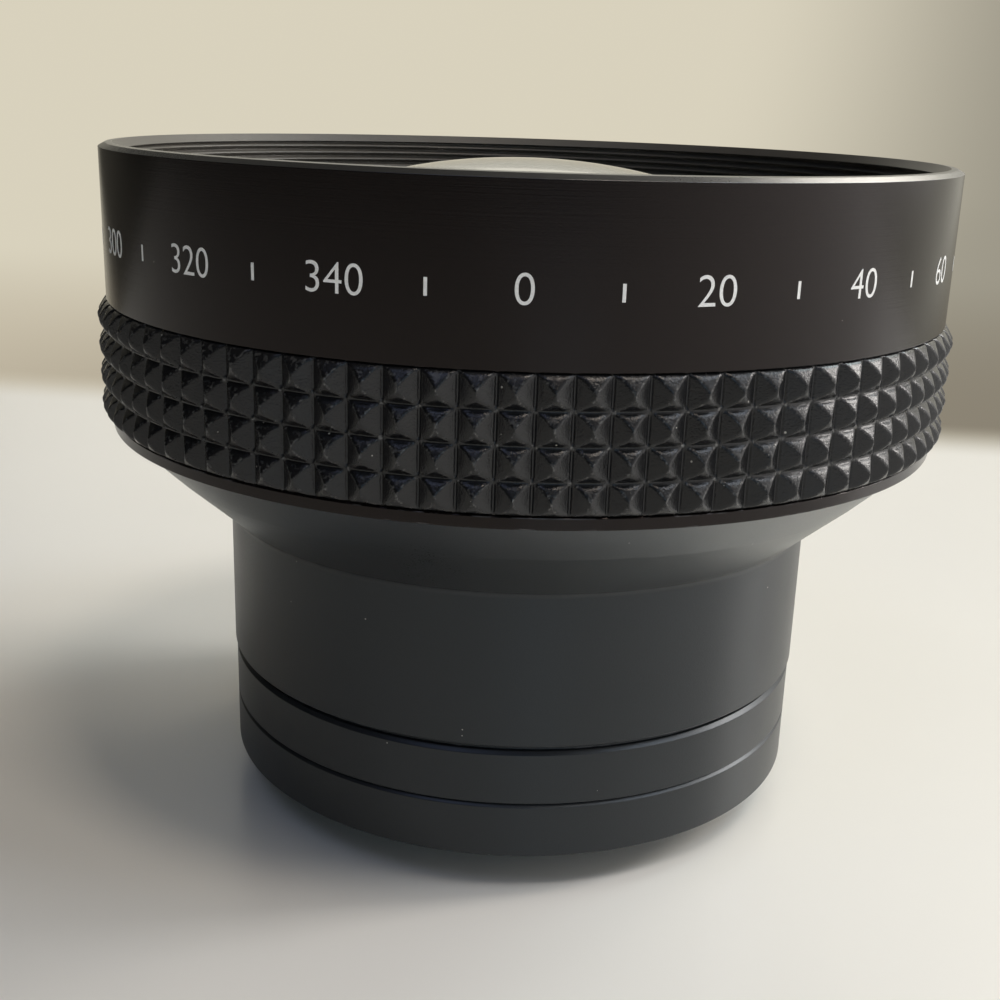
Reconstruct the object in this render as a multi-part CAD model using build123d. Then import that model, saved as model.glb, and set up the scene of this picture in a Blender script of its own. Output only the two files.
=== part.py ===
from build123d import *
from math import cos, pi, sin, sqrt
import os

# Telephoto conversion lens, x2, in millimetres. The optical axis is Z, the origin is the middle of the
# thread end that it stands on, and +Z points at the front glass.

# Heights of the outer steps, from the table up
camera_thread_length = 3.5
adapter_height = 5.2
mount_ring_height = 5.6
barrel_height = 14.1
low_cone_height = 5.25
high_cone_height = 3.95
lip_height = 1.1
grip_height = 10.6
front_ring_height = 13.8

# Steps in the outer radii, from the grip inwards
lip_step = 0.1
cone_step = 0.7
high_cone_width = 4.1
ring_step = 0.15

# Rubber grip: square pointed studs between flat column grooves
studs_round = 90
stud_rows = 4
stud_depth = 0.85
groove_width = 0.55
grip_wall = 1.38
first_stud_angle = 1.5

# Front ring, its thread for filters, and its skirt under the grip
filter_wall = 1.9
filter_thread_depth = 4.35
rim_outer_bevel_height = 0.4
rim_outer_bevel_width = 0.6
rim_inner_bevel = 0.75
funnel_lip = 0.65
skirt_wall = 1.35
skirt_screw_radius = 1.0
skirt_screw_count = 3
first_screw_angle = 30
skirt_screw_height = 2.2
skirt_screw_bite = 0.25
socket_width = 0.9
socket_depth = 0.8

# Barrel
tube_wall = 2.15
tube_headroom = 0.42
foot_wall = 3.1
stop_seat_width = 0.85
throat_drop = 2.1
inner_cone_drop = 1.4

# Mount ring, adapter ring and the thread between them
camera_thread_radius = 23.0
camera_thread_wall = 1.4
thread_end_bevel = 0.4
mount_thread_length = 3.2
mount_thread_step = 1.75
socket_floor_gap = 0.3
foot_thread_wall = 1.0
foot_gap_height = 0.49
foot_gap_depth = 0.6
ring_bevel = 0.35

# Glass: two cemented elements in front and one hollow element behind, which make x2 together
front_glass_radius = 35.0
dome_below_rim = 0.7
crown_front_curve = 62.0
cement_curve = 80.0
flint_rear_curve = 110.0
crown_edge = 1.515
flint_thickness = 3.6
rear_glass_radius = 20.5
rear_flat_width = 1.3
rear_front_curve = 55.0
rear_back_curve = 35.6
rear_thickness = 2.2

# Rings that hold the glass
front_seat_width = 1.6
shim_thickness = 0.5
front_ring_grip_width = 1.2
front_retainer_height = 2.2
front_retainer_flare = 0.8
rear_cell_wall = 2.05
rear_cell_lip_height = 1.22
rear_retainer_height = 1.4
lock_ring_height = 1.7
lock_ring_width = 2.3
lock_ring_headroom = 1.2
light_stop_thickness = 0.3
light_stop_overlap = 1.7
cell_headroom = 0.7
slot_width = 1.5
slot_depth = 0.7

# Clearances
thread_gap = 0.05
glass_gap = 0.05
cement_gap = 0.02
rubber_gap = 0.02
touch_gap = 0.005
end_gap = 0.3
cut_margin = 1.0

# Levels of the outer steps
adapter_low = camera_thread_length
mount_low = adapter_low + adapter_height
barrel_low = mount_low + mount_ring_height
cone_low = barrel_low + barrel_height
cone_break = cone_low + low_cone_height
lip_low = cone_break + high_cone_height
grip_low = lip_low + lip_height
grip_top = grip_low + grip_height
rim_top = grip_top + front_ring_height


def turned(*outline):
    """A ring or tube turned about the Z axis, from its outline as (radius, height) corners."""
    return revolve(Plane.XZ * make_face(Polyline(*outline, close=True)), Axis.Z)


def disc(radius, low, high):
    """A round bar on the Z axis between two heights."""
    return Pos(0, 0, (low + high) / 2) * Cylinder(radius, high - low)


def ball(radius, middle):
    """A ball on the Z axis, laid on its side so that its poles stay clear of the glass."""
    return Pos(0, 0, middle) * Rot(90, 0, 0) * Sphere(radius)


def sag(curve, radius):
    """How far a spherical face falls away from its pole at a radius."""
    return curve - sqrt(curve**2 - radius**2)


def slots(ring_radius, face_height):
    """A bar across a ring's face, which cuts the two slots that a lens spanner turns it by."""
    length = 2 * (ring_radius + cut_margin)
    return Pos(0, 0, face_height) * Box(length, slot_width, 2 * slot_depth)


# Places of the glass faces, down the axis from the front
crown_bulge = sag(crown_front_curve, front_glass_radius)
cement_bulge = sag(cement_curve, front_glass_radius)
crown_thickness = crown_edge + crown_bulge + cement_bulge
crown_pole = rim_top - dome_below_rim
cement_pole = crown_pole - crown_thickness
flint_pole = cement_pole - flint_thickness
front_contact_radius = front_glass_radius - front_ring_grip_width
front_contact = crown_pole - sag(crown_front_curve, front_contact_radius)
front_retainer_top = front_contact + touch_gap + front_retainer_height
front_seat_radius = front_glass_radius - front_seat_width
shim_top = flint_pole + sag(flint_rear_curve, front_seat_radius) - touch_gap
seat_height = shim_top - shim_thickness

# Places of the rear glass, up from the end of the mount ring's thread
rear_clear_radius = rear_glass_radius - rear_flat_width
mount_end = mount_low - mount_thread_length
rear_flat_low = mount_end + rear_retainer_height
rear_back_pole = rear_flat_low + sag(rear_back_curve, rear_clear_radius)
rear_front_pole = rear_back_pole + rear_thickness
rear_flat_top = rear_front_pole + sag(rear_front_curve, rear_clear_radius)
cell_top = rear_flat_top + rear_cell_lip_height
stop_low = cell_top + cell_headroom
web_top = stop_low - lock_ring_headroom - lock_ring_height

# Radii of the front pieces, from the glass outwards
tube_bore_radius = front_glass_radius + glass_gap
tube_radius = tube_bore_radius + tube_wall
tube_top = front_retainer_top + tube_headroom
skirt_bore_radius = tube_radius + thread_gap
skirt_radius = skirt_bore_radius + skirt_wall
screw_level = grip_low + skirt_screw_height
screw_bottom = tube_radius - skirt_screw_bite
grip_bore_radius = skirt_radius + rubber_gap
grip_valley_radius = grip_bore_radius + grip_wall
front_ring_radius = grip_valley_radius
filter_thread_radius = front_ring_radius - filter_wall
lip_radius = grip_valley_radius - lip_step
cone_top_radius = lip_radius - cone_step
cone_break_radius = cone_top_radius - high_cone_width

# Radii of the rear pieces, from the glass outwards
cell_bore_radius = rear_glass_radius + glass_gap
cell_radius = cell_bore_radius + rear_cell_wall
web_bore_radius = cell_radius + thread_gap
lock_ring_radius = web_bore_radius + lock_ring_width
foot_thread_radius = lock_ring_radius + thread_gap + foot_thread_wall
foot_bore_radius = foot_thread_radius + thread_gap
barrel_bore_radius = foot_bore_radius - stop_seat_width
barrel_radius = foot_bore_radius + foot_wall
ring_radius = barrel_radius - ring_step
mount_thread_radius = ring_radius - mount_thread_step
adapter_bore_radius = camera_thread_radius - camera_thread_wall


def adapter_ring():
    """Screws on to the mount ring's thread and carries the smaller thread for the camera."""
    socket_radius = mount_thread_radius + thread_gap
    floor = mount_end - socket_floor_gap
    return turned(
        (adapter_bore_radius, 0),
        (camera_thread_radius - thread_end_bevel, 0),
        (camera_thread_radius, thread_end_bevel),
        (camera_thread_radius, adapter_low),
        (ring_radius, adapter_low),
        (ring_radius, mount_low - ring_bevel),
        (ring_radius - ring_bevel, mount_low),
        (socket_radius, mount_low),
        (socket_radius, floor),
        (adapter_bore_radius, floor),
    )


def mount_ring():
    """Screws into the barrel's foot, with the thread for the adapter below and the rear cell inside."""
    step = barrel_low - foot_gap_height
    return turned(
        (web_bore_radius, mount_end),
        (mount_thread_radius, mount_end),
        (mount_thread_radius, mount_low),
        (ring_radius, mount_low),
        (ring_radius, step - ring_bevel),
        (ring_radius - ring_bevel, step),
        (ring_radius - foot_gap_depth, step),
        (ring_radius - foot_gap_depth, barrel_low),
        (foot_thread_radius, barrel_low),
        (foot_thread_radius, stop_low),
        (foot_thread_radius - foot_thread_wall, stop_low),
        (foot_thread_radius - foot_thread_wall, web_top),
        (web_bore_radius, web_top),
    )


def screw_places():
    """One place for each grub screw round the skirt, with its axis pointing outwards."""
    outwards = Pos(screw_bottom, 0, screw_level) * Rot(0, 90, 0)
    for turn in range(skirt_screw_count):
        yield Rot(0, 0, first_screw_angle + turn * 360 / skirt_screw_count) * outwards


def screw_room():
    """The holes for the grub screws, from the bite in the barrel's tube out through the skirt."""
    bar = Pos(0, 0, grip_wall) * Cylinder(skirt_screw_radius, 2 * grip_wall)
    return [place * bar for place in screw_places()]


def main_barrel():
    """One turned casting: foot, straight barrel, cone in two slopes, lip, and the tube for the glass."""
    shoulder = stop_low + light_stop_thickness
    body = turned(
        (foot_bore_radius, barrel_low),
        (barrel_radius, barrel_low),
        (barrel_radius, cone_low),
        (cone_break_radius, cone_break),
        (cone_top_radius, lip_low),
        (lip_radius, lip_low),
        (lip_radius, grip_low),
        (tube_radius, grip_low),
        (tube_radius, tube_top),
        (tube_bore_radius, tube_top),
        (tube_bore_radius, seat_height),
        (front_seat_radius, seat_height),
        (front_seat_radius, lip_low - throat_drop),
        (barrel_bore_radius, cone_low - inner_cone_drop),
        (barrel_bore_radius, shoulder),
        (foot_bore_radius, shoulder),
    )
    return body - screw_room()


def front_ring():
    """The smooth ring with the filter thread, whose skirt screws down over the tube on to the lip."""
    funnel_top = rim_top - rim_inner_bevel - filter_thread_depth
    funnel_low = tube_top + end_gap
    body = turned(
        (skirt_bore_radius, grip_low),
        (skirt_radius, grip_low),
        (skirt_radius, grip_top),
        (front_ring_radius, grip_top),
        (front_ring_radius, rim_top - rim_outer_bevel_height),
        (front_ring_radius - rim_outer_bevel_width, rim_top),
        (filter_thread_radius + rim_inner_bevel, rim_top),
        (filter_thread_radius, rim_top - rim_inner_bevel),
        (filter_thread_radius, funnel_top),
        (skirt_bore_radius - funnel_lip, funnel_low),
        (skirt_bore_radius, funnel_low),
    )
    return body - screw_room()


def skirt_screws():
    """Grub screws that lock the front ring to the barrel, out of sight under the rubber."""
    length = skirt_radius - screw_bottom - thread_gap
    shank = Pos(0, 0, length / 2) * Cylinder(skirt_screw_radius - thread_gap, length)
    socket = extrude(Pos(0, 0, length) * RegularPolygon(socket_width / 2, 6), amount=-socket_depth)
    screw = shank - socket
    return Compound([place * screw for place in screw_places()])


def grip_column():
    """One column of studs: a ridge that runs up the grip, crossed by the rows' roof shapes."""
    half_pitch = pi / studs_round
    crest = grip_valley_radius + stud_depth
    inside = grip_bore_radius - grip_wall

    def beside_groove(along, across, side):
        return (
            along * cos(half_pitch) + across * sin(half_pitch),
            side * (along * sin(half_pitch) - across * cos(half_pitch)),
        )

    section = Polyline(
        beside_groove(inside, 0, -1),
        beside_groove(grip_valley_radius, 0, -1),
        beside_groove(grip_valley_radius, groove_width / 2, -1),
        (crest, 0),
        beside_groove(grip_valley_radius, groove_width / 2, 1),
        beside_groove(grip_valley_radius, 0, 1),
        beside_groove(inside, 0, 1),
        close=True,
    )
    ridge = Pos(0, 0, grip_low) * extrude(make_face(section), amount=grip_height)
    row_height = grip_height / stud_rows
    roofs = [(inside, grip_low)]
    for row in range(stud_rows):
        roofs.append((grip_valley_radius, grip_low + row * row_height))
        roofs.append((crest, grip_low + (row + 0.5) * row_height))
    roofs += [(grip_valley_radius, grip_top), (inside, grip_top)]
    across = 2 * grip_valley_radius * half_pitch
    return ridge & extrude(Plane.XZ * make_face(Polyline(*roofs, close=True)), amount=across, both=True)


def rubber_grip():
    """Moulded rubber ring stretched over the skirt, made of equal columns of pointed studs."""
    column = grip_column()
    pitch = 360 / studs_round
    columns = [Rot(0, 0, first_stud_angle + turn * pitch) * column for turn in range(studs_round)]
    bore = disc(grip_bore_radius, grip_low - cut_margin, grip_top + cut_margin)
    return columns[0].fuse(*columns[1:]) - bore


def front_crown():
    """The domed front glass, bulging on both sides."""
    blank = disc(front_glass_radius, flint_pole, rim_top)
    front = ball(crown_front_curve, crown_pole - crown_front_curve)
    return blank & front & ball(cement_curve, cement_pole + cement_curve)


def front_flint():
    """The denser glass cemented behind the crown."""
    blank = disc(front_glass_radius, flint_pole - cut_margin, rim_top)
    rear = ball(flint_rear_curve, flint_pole + flint_rear_curve)
    return blank & rear - ball(cement_curve + cement_gap, cement_pole + cement_curve)


def front_retaining_ring():
    """Threaded ring over the front glass, flared inside, with two spanner slots."""
    low = front_contact + touch_gap
    top = front_retainer_top
    ring = turned(
        (front_contact_radius, low),
        (front_glass_radius, low),
        (front_glass_radius, top),
        (front_contact_radius + front_retainer_flare, top),
    )
    return ring - slots(front_glass_radius, top)


def front_shim():
    """Thin ring between the barrel's seat and the glass."""
    return disc(front_glass_radius, seat_height, shim_top) - disc(front_seat_radius, 0, rim_top)


def light_stop():
    """Thin black plate trapped over the mount ring, which hides the rear cell from the front."""
    plate = disc(foot_thread_radius, stop_low, stop_low + light_stop_thickness)
    return plate - disc(cell_radius - light_stop_overlap, 0, rim_top)


def rear_cell():
    """Threaded tube that holds the rear glass against its top lip."""
    return turned(
        (cell_bore_radius, mount_end),
        (cell_radius, mount_end),
        (cell_radius, cell_top),
        (rear_clear_radius, cell_top),
        (rear_clear_radius, rear_flat_top),
        (cell_bore_radius, rear_flat_top),
    )


def cell_lock_ring():
    """Ring that locks the rear cell once the spacing of the glass is set."""
    top = web_top + lock_ring_height
    outer = disc(lock_ring_radius, web_top, top)
    return outer - disc(web_bore_radius, 0, rim_top) - slots(cell_radius, top)


def rear_negative():
    """The rear glass, hollow on both sides, with flat ground edges."""
    blank = disc(rear_glass_radius, rear_flat_low, rear_flat_top)
    front_hollow = ball(rear_front_curve, rear_front_pole + rear_front_curve)
    return blank - front_hollow - ball(rear_back_curve, rear_back_pole - rear_back_curve)


def rear_retaining_ring():
    """Threaded ring under the rear glass, with two spanner slots in its lower face."""
    ring = disc(rear_glass_radius, mount_end, rear_flat_low) - disc(rear_clear_radius, 0, rim_top)
    return ring - slots(rear_glass_radius, mount_end)


pieces = {
    "adapter_ring": adapter_ring(),
    "mount_ring": mount_ring(),
    "main_barrel": main_barrel(),
    "front_ring": front_ring(),
    "skirt_screws": skirt_screws(),
    "rubber_grip": rubber_grip(),
    "front_crown": front_crown(),
    "front_flint": front_flint(),
    "front_retaining_ring": front_retaining_ring(),
    "front_shim": front_shim(),
    "light_stop": light_stop(),
    "rear_cell": rear_cell(),
    "cell_lock_ring": cell_lock_ring(),
    "rear_negative": rear_negative(),
    "rear_retaining_ring": rear_retaining_ring(),
}

os.makedirs("parts", exist_ok=True)
for name, piece in pieces.items():
    export_step(piece, f"parts/{name}.step")
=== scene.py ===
from math import cos, hypot, pi, radians, sin, sqrt, tan

import bmesh
import bpy
import numpy as np
from mathutils import Matrix, Vector, noise


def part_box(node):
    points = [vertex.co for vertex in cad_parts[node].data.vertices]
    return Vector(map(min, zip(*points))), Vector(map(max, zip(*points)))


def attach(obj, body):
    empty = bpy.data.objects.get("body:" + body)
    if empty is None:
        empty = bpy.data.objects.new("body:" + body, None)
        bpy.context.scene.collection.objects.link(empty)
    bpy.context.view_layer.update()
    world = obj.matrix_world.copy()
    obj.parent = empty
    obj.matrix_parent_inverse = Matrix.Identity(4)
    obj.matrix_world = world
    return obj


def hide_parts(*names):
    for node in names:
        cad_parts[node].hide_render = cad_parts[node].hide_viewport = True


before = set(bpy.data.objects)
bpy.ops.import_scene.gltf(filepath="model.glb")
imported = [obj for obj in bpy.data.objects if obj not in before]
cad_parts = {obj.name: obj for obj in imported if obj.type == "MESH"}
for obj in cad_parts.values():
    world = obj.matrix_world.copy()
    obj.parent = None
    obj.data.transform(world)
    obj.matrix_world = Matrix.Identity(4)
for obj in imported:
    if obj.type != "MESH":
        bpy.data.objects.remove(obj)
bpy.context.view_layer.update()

# Adapter ring: the lowest ring, turned from aluminium and anodised satin black. Its small thread screws
# into the camera, and the mount ring's thread screws into the socket in its top.
MM = 0.001
CORNER_SOFTNESS = 0.1
SHARP = 0.05
CORNER_ROOM = 0.45
CORNER_STEPS = 4
FLANKING_SHARE = 0.1
AXIS_TOLERANCE = 1e-6
THREAD_PITCH = 0.75
ROWS_PER_PITCH = 12
CREST_SHARE = 0.14
FLANK_SHARE = 0.72
THREAD_CUT = 0.42
THREAD_START = 0.05
FINE_COLUMNS = 480


def reach(node):
    """The outer radius of a turned piece, in millimetres."""
    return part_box(node)[1].x / MM


def heights(node):
    """The lowest and highest level of a piece, in millimetres."""
    low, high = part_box(node)
    return low.z / MM, high.z / MM


def softened(corners):
    """Rounds an outline's corners, each given as (radius, height) or (radius, height, softness).

    A thread's rows are (radius, height, 0, cut), and stay where they are. Each row that comes back is
    (radius, height, cut, edge), where edge is 1 round an outer corner and 0 elsewhere.
    """
    rows = []
    looped = [corners[-1], *corners, corners[0]]
    outline = np.array([corner[:2] for corner in looped], float)
    winding = np.sign(np.cross(outline[:-1], outline[1:]).sum())
    for before, corner, after in zip(looped, corners, looped[2:]):
        if len(corner) == 4:
            rows.append((corner[0], corner[1], corner[3], 0.0))
            continue
        here = np.array(corner[:2], float)
        back = np.array(before[:2], float) - here
        ahead = np.array(after[:2], float) - here
        room = CORNER_ROOM * min(hypot(*back), hypot(*ahead))
        back /= hypot(*back)
        ahead /= hypot(*ahead)
        turn = pi - np.arccos(np.clip(back @ ahead, -1, 1))
        outer = float(np.cross(-back, ahead) * winding > 0)
        softness = corner[2] if len(corner) == 3 else CORNER_SOFTNESS
        cut_back = min(softness * tan(turn / 2), room)
        start = here + back * cut_back
        end = here + ahead * cut_back
        rows.append((*(start + back * FLANKING_SHARE * cut_back), 0, 0.0))
        for share in np.linspace(0, 1, CORNER_STEPS + 1):
            point = (1 - share) ** 2 * start + 2 * share * (1 - share) * here + share**2 * end
            rows.append((*point, 0, outer))
        rows.append((*(end + ahead * FLANKING_SHARE * cut_back), 0, 0.0))
    return np.array(rows)


def thread(radius, start, end, cut):
    """Outline rows of a screw thread between two levels. cut is its depth, and minus is inwards."""
    count = max(int(abs(end - start) / THREAD_PITCH * ROWS_PER_PITCH), 2)
    return [(radius, level, 0, cut) for level in np.linspace(start, end, count)]


def thread_depth(turns):
    """How deep a thread is cut, from 0 on its flat crest to 1 in its flat root."""
    rise = abs(2 * (turns % 1) - 1)
    return np.clip((1 - rise - CREST_SHARE) / FLANK_SHARE, 0, 1)


def turned(name, corners, columns=FINE_COLUMNS, ring=True):
    """A closed piece turned about the Z axis. A solid disc's outline starts and ends on the axis."""
    rows = softened(corners)
    following = np.roll(rows, -1, axis=0)
    doubled_area = (rows[:, 0] * following[:, 1] - following[:, 0] * rows[:, 1]).sum()
    if doubled_area < 0:
        rows = rows[::-1]
    angles = np.linspace(0, 2 * pi, columns, endpoint=False)
    turns = rows[:, 1:2] / THREAD_PITCH - angles / (2 * pi)
    radius = rows[:, :1] + rows[:, 2:3] * thread_depth(turns)
    level = np.broadcast_to(rows[:, 1:2], radius.shape)
    points = np.stack([radius * np.cos(angles), radius * np.sin(angles), level], axis=-1)
    piece = grid_mesh(name, points * MM, ring)
    mark_edges(piece, np.repeat(rows[:, 3], columns))
    if not ring:
        join_poles(piece)
    return piece


def grid_mesh(name, points, closed_rows=True):
    """A smooth mesh from rows of points that each run once round the axis."""
    count, columns = points.shape[:2]
    index = np.arange(count * columns).reshape(count, columns)
    above = np.roll(index, -1, axis=0)
    if not closed_rows:
        index, above = index[:-1], above[:-1]
    faces = np.stack([index, np.roll(index, -1, 1), np.roll(above, -1, 1), above], axis=-1)
    mesh = bpy.data.meshes.new(name)
    mesh.from_pydata(points.reshape(-1, 3).tolist(), [], faces.reshape(-1, 4).tolist())
    mesh.shade_smooth()
    return new_object(name, mesh)


def new_object(name, data):
    """Puts a mesh, a light or a camera into the scene."""
    made = bpy.data.objects.new(name, data)
    bpy.context.scene.collection.objects.link(made)
    return made


def mark_edges(piece, shares):
    """Stores how much each point is lightened, from 0 to 1, for the material to read: wear on the metal,
    and wear with painted highlight and shade on the rubber's studs.
    """
    edge = piece.data.attributes.new("edge", "FLOAT", "POINT")
    edge.data.foreach_set("value", shares.astype(np.float32))


def join_poles(piece):
    """Joins the points that lie on the axis, so that a disc closes in one point above and below."""
    mesh = bmesh.new()
    mesh.from_mesh(piece.data)
    on_axis = [point for point in mesh.verts if hypot(point.co.x, point.co.y) < AXIS_TOLERANCE]
    bmesh.ops.remove_doubles(mesh, verts=on_axis, dist=AXIS_TOLERANCE)
    mesh.to_mesh(piece.data)
    mesh.free()


def put(tree, kind, values=(), **settings):
    """Adds a shader node. A value that is a socket is linked, and any other value is set."""
    made = tree.nodes.new("ShaderNode" + kind)
    for name, value in settings.items():
        setattr(made, name, value)
    for name, value in dict(values).items():
        if isinstance(value, bpy.types.NodeSocket):
            tree.links.new(value, made.inputs[name])
        else:
            made.inputs[name].default_value = value
    return made


def maths(tree, operation, *values):
    """The result of one operation on one, two or three values or sockets."""
    return put(tree, "Math", dict(enumerate(values)), operation=operation).outputs[0]


def scaled(tree, colour, share):
    """A colour made darker or lighter by a share of it."""
    return put(tree, "VectorMath", {0: colour, 1: share}, operation="MULTIPLY").outputs[0]


def blended(tree, share, first, second):
    """One colour over another, by a share from 0 to 1."""
    return put(tree, "Mix", {0: share, 6: first, 7: second}, data_type="RGBA").outputs[2]


def clouds(tree, place, scale, detail, roughness=0.5):
    """Soft noise from 0 to 1 with its middle at a half."""
    values = {"Vector": place, "Scale": scale, "Detail": detail, "Roughness": roughness}
    return put(tree, "TexNoise", values).outputs[0]


def varied(tree, middle, cloud, strength):
    """A value that soft noise pushes up and down round its middle."""
    return maths(tree, "MULTIPLY_ADD", maths(tree, "SUBTRACT", cloud, 0.5), strength, middle)


def new_group(name, inputs, outputs):
    """An empty shader node group, with its inputs as {name: default value}."""
    group = bpy.data.node_groups.new(name, "ShaderNodeTree")
    for label, default in inputs.items():
        kind = "NodeSocketColor" if isinstance(default, tuple) else "NodeSocketFloat"
        group.interface.new_socket(label, in_out="INPUT", socket_type=kind).default_value = default
    for label, kind in outputs.items():
        group.interface.new_socket(label, in_out="OUTPUT", socket_type="NodeSocket" + kind)
    return group, group.nodes.new("NodeGroupInput").outputs, group.nodes.new("NodeGroupOutput")


CLOUD_SCALE = 70.0
CLOUD_TONE = 0.5
CLOUD_DULLING = 0.16
GRAIN_TONE = 0.5
GRAIN_DULLING = 0.12
TURNING_LINE_SCALES = (60.0, 60.0, 9000.0)


def fine_finish_group():
    """Cloudy tone, fine blasted grain and faint turning lines, for any dull surface."""
    group, given, result = new_group(
        "fine_finish",
        {
            "Colour": (0, 0, 0, 1),
            "Roughness": 0.5,
            "Grain Scale": 6000.0,
            "Grain": 0.5,
            "Lines": 0.2,
        },
        {"Colour": "Color", "Roughness": "Float", "Height": "Float"},
    )
    place = put(group, "TexCoord").outputs["Object"]
    cloud = clouds(group, place, CLOUD_SCALE, detail=3.0)
    grain = clouds(group, place, given["Grain Scale"], detail=3.0, roughness=0.6)
    flattened = put(group, "Mapping", {"Vector": place, "Scale": TURNING_LINE_SCALES}).outputs[0]
    lines = clouds(group, flattened, 1.0, detail=2.0)
    tone = varied(group, 1.0, cloud, CLOUD_TONE)
    tone = varied(group, tone, grain, GRAIN_TONE)
    dulled = varied(group, given["Roughness"], cloud, CLOUD_DULLING)
    dulled = varied(group, dulled, grain, GRAIN_DULLING)
    grain_height = maths(group, "MULTIPLY", grain, given["Grain"])
    line_height = maths(group, "MULTIPLY", lines, given["Lines"])
    height = maths(group, "ADD", grain_height, line_height)
    group.links.new(scaled(group, given["Colour"], tone), result.inputs["Colour"])
    group.links.new(dulled, result.inputs["Roughness"])
    group.links.new(height, result.inputs["Height"])
    return group


WEAR_START = 0.52
WEAR_CONTRAST = 9.0


def rubbed_edges_group():
    """Where the black coat is rubbed thin along an edge, in short broken stretches, and on the rubber's
    studs also painted highlight.
    """
    group, given, result = new_group(
        "rubbed_edges", {"Amount": 0.5, "Patch Scale": 400.0}, {"Wear": "Float"}
    )
    edge = put(group, "Attribute", attribute_name="edge").outputs["Fac"]
    place = put(group, "TexCoord").outputs["Object"]
    patches = clouds(group, place, given["Patch Scale"], detail=4.0)
    broken = maths(group, "MULTIPLY", maths(group, "SUBTRACT", patches, WEAR_START), WEAR_CONTRAST)
    wear_and_sheen = maths(group, "MULTIPLY", put(group, "Clamp", {0: broken}).outputs[0], edge)
    group.links.new(maths(group, "MULTIPLY", wear_and_sheen, given["Amount"]), result.inputs["Wear"])
    return group


SMALLEST_SPECK = 0.4


def settled_dust_group():
    """Sparse specks of dust, each a little bigger or smaller than the next."""
    group, given, result = new_group(
        "settled_dust", {"Scale": 1500.0, "Share": 0.03, "Speck Size": 0.1}, {"Dust": "Float"}
    )
    place = put(group, "TexCoord").outputs["Object"]
    cells = put(group, "TexVoronoi", {"Vector": place, "Scale": given["Scale"]})
    pick = put(group, "SeparateColor", {0: cells.outputs["Color"]}).outputs
    chosen = maths(group, "GREATER_THAN", pick[0], maths(group, "SUBTRACT", 1.0, given["Share"]))
    size = maths(group, "MULTIPLY", given["Speck Size"], maths(group, "ADD", pick[1], SMALLEST_SPECK))
    inside = maths(group, "LESS_THAN", cells.outputs["Distance"], size)
    group.links.new(maths(group, "MULTIPLY", chosen, inside), result.inputs["Dust"])
    return group


FINE_FINISH = fine_finish_group()
RUBBED_EDGES = rubbed_edges_group()
SETTLED_DUST = settled_dust_group()
BARE_METAL_COLOUR = (0.33, 0.33, 0.34, 1)
DUST_COLOUR = (0.42, 0.40, 0.36, 1)
RELIEF_STRENGTH = 0.6


def use_group(tree, group, values):
    """Places a node group in a material with its own values, and returns its outputs."""
    made = tree.nodes.new("ShaderNodeGroup")
    made.node_tree = group
    for name, value in values.items():
        made.inputs[name].default_value = value
    return made.outputs


def new_material(name):
    """A new material, its node tree and its Principled shader."""
    material = bpy.data.materials.new(name)
    material.use_nodes = True
    return material, material.node_tree, material.node_tree.nodes["Principled BSDF"]


def add_relief(tree, shader, height, strength, depth):
    """Gives a shader fine relief of a depth in millimetres."""
    relief = put(tree, "Bump", {"Height": height, "Strength": strength, "Distance": depth * MM})
    tree.links.new(relief.outputs[0], shader.inputs["Normal"])


def dull_black(
    name, colour, roughness, grain=0.5, lines=0.2, wear=0.2, dust=0.012, depth=0.02, ior=1.5,
    bare=BARE_METAL_COLOUR, patches=400.0, gloss=(1, 1, 1, 1)
):
    """A dull black finish with grain, turning lines, rubbed edges and dust. depth is its relief in mm.
    """
    material, tree, shader = new_material(name)
    finish = use_group(
        tree, FINE_FINISH, {"Colour": colour, "Roughness": roughness, "Grain": grain, "Lines": lines}
    )
    wear_and_sheen = use_group(tree, RUBBED_EDGES, {"Amount": wear, "Patch Scale": patches})["Wear"]
    specks = use_group(tree, SETTLED_DUST, {"Share": dust})["Dust"]
    # On the rubber, this mask and the bare colour also lay painted highlight on the studs.
    coat = blended(tree, wear_and_sheen, finish["Colour"], bare)
    tree.links.new(blended(tree, specks, coat, DUST_COLOUR), shader.inputs["Base Color"])
    if bare == BARE_METAL_COLOUR:
        tree.links.new(wear_and_sheen, shader.inputs["Metallic"])
    tree.links.new(finish["Roughness"], shader.inputs["Roughness"])
    shader.inputs["IOR"].default_value = ior
    shader.inputs["Specular Tint"].default_value = gloss
    add_relief(tree, shader, finish["Height"], RELIEF_STRENGTH, depth)
    return material


def fit(piece, material, slot, body, *nodes):
    """Gives a piece its finish, its body and the pieces of the frame that it stands for."""
    piece.data.materials.append(material)
    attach(piece, body)
    if nodes:
        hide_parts(*nodes)


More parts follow.
